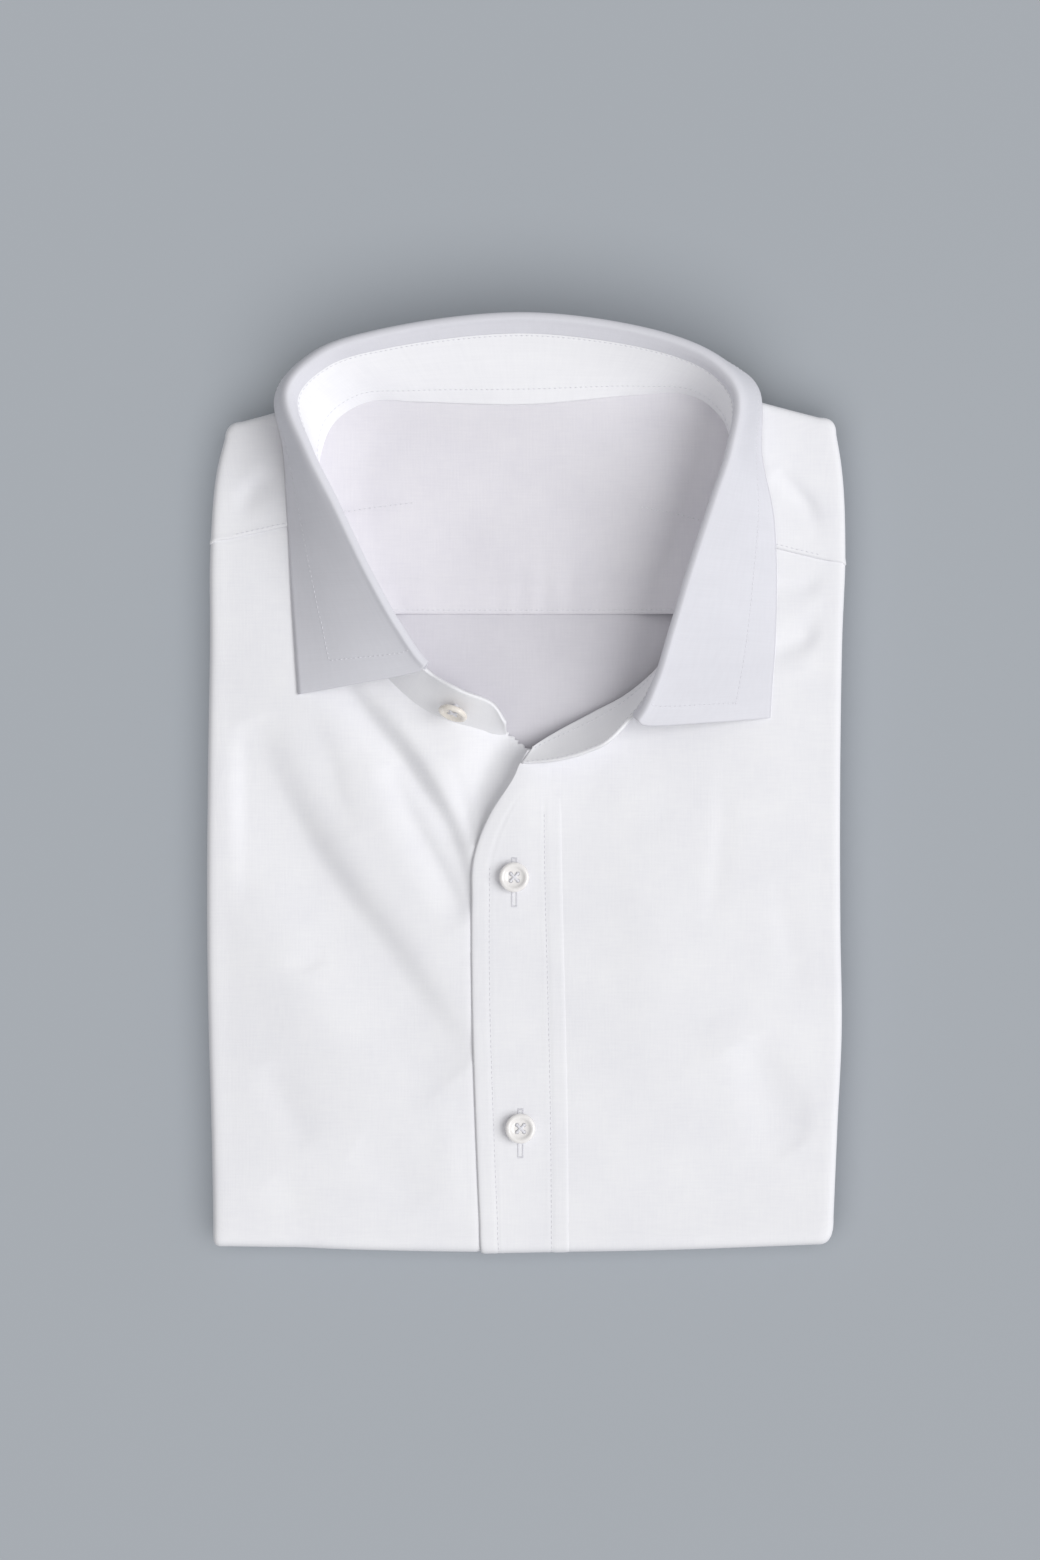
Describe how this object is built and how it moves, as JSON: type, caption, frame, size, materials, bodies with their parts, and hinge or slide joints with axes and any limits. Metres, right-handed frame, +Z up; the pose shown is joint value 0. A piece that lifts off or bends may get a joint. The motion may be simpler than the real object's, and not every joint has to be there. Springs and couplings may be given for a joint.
{
  "type": "folded shirt",
  "caption": "Man's long-sleeved dress shirt folded flat for a shelf, with a spread collar standing open and rolled over.",
  "frame": {"origin": "on the surface that the shirt rests on, under the middle of its outline", "axes": "+Z up, +Y from the bottom fold towards the collar, +X towards the buttonhole side"},
  "size_m": [0.245, 0.3607, 0.0502],
  "materials": {
    "cloth": "fine plain-woven white cotton, pressed",
    "button": "polished off-white resin with a pearly sheen",
    "thread": "white sewing thread"
  },
  "bodies": {
    "root": {"hidden_layers": "cloth", "back_panel": "cloth", "inner_yoke": "cloth", "left_front": "cloth", "right_front": "cloth", "outer_yoke": "cloth", "placket": "cloth", "collar_stand": "cloth", "collar_leaf": "cloth", "button_upper": "button", "button_lower": "button", "button_collar": "button"}
  },
  "joints": []
}
